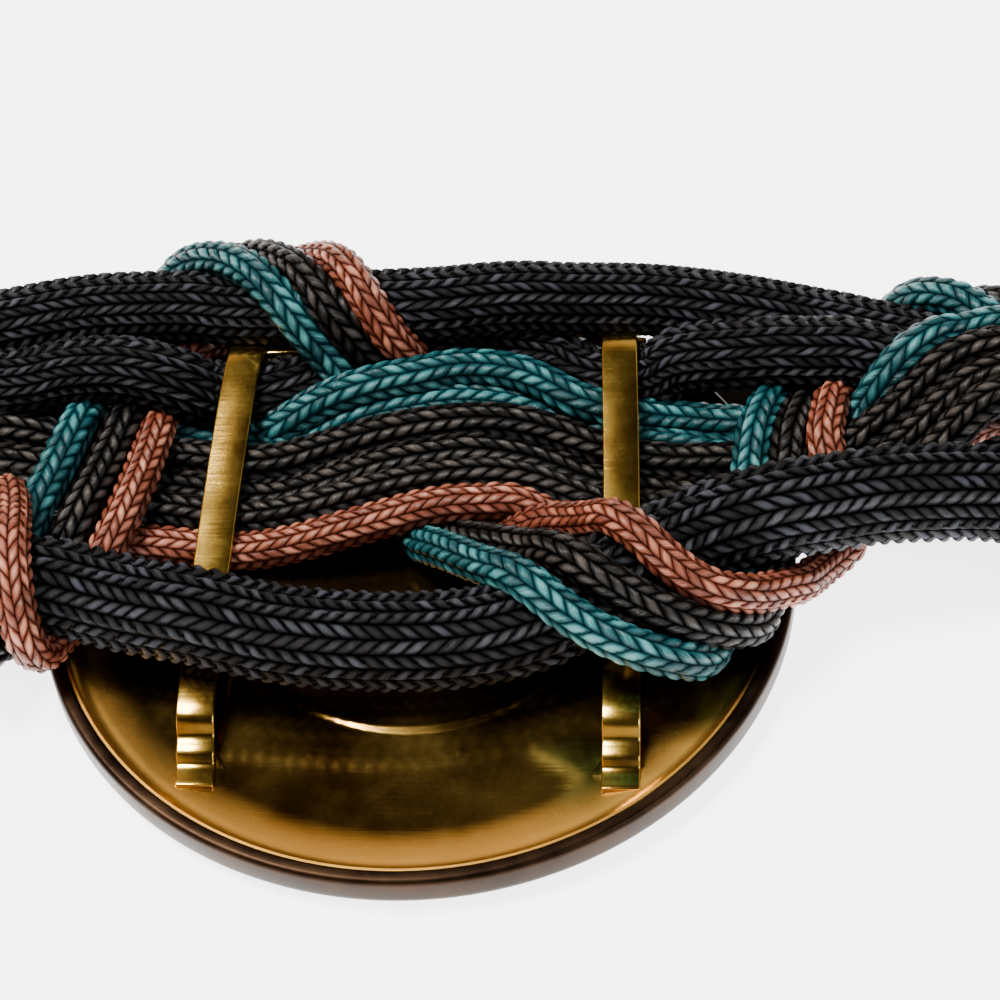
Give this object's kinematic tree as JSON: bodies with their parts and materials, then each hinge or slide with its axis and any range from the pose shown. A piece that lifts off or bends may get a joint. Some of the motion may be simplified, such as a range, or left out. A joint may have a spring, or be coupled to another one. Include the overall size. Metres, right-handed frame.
{
  "type": "braided cord belt",
  "caption": "Closed belt plaited from thick and thin cords, with a round brass medallion held on it by two flat keepers, lying medallion side down.",
  "frame": {"origin": "centre of the medallion's face, which lies on the surface", "axes": "+X along the belt, +Y into the closed loop, +Z out of the back of the medallion"},
  "size_m": [0.3094, 0.2303, 0.0625],
  "materials": {
    "medallion_rim": "dark brown patinated brass",
    "polished_brass": "worn polished brass with scratches and specks",
    "clasp_brass": "satin brass",
    "black_cord": "matte braided cotton cord, slightly fuzzy",
    "thin_black_cord": "thin satin braided cord",
    "teal_cord": "thin satin braided cord",
    "rust_cord": "thin satin braided cord"
  },
  "bodies": {
    "root": {"medallion_shell": "medallion_rim", "back_plate": "polished_brass", "thick_cord_inner": "black_cord", "thick_cord_second": "black_cord", "thick_cord_outer": "black_cord", "core_teal": "teal_cord", "core_black": "thin_black_cord", "core_rust": "rust_cord", "weft_teal": "teal_cord", "weft_black": "thin_black_cord", "weft_rust": "rust_cord", "clasp": "clasp_brass"}
  },
  "joints": []
}
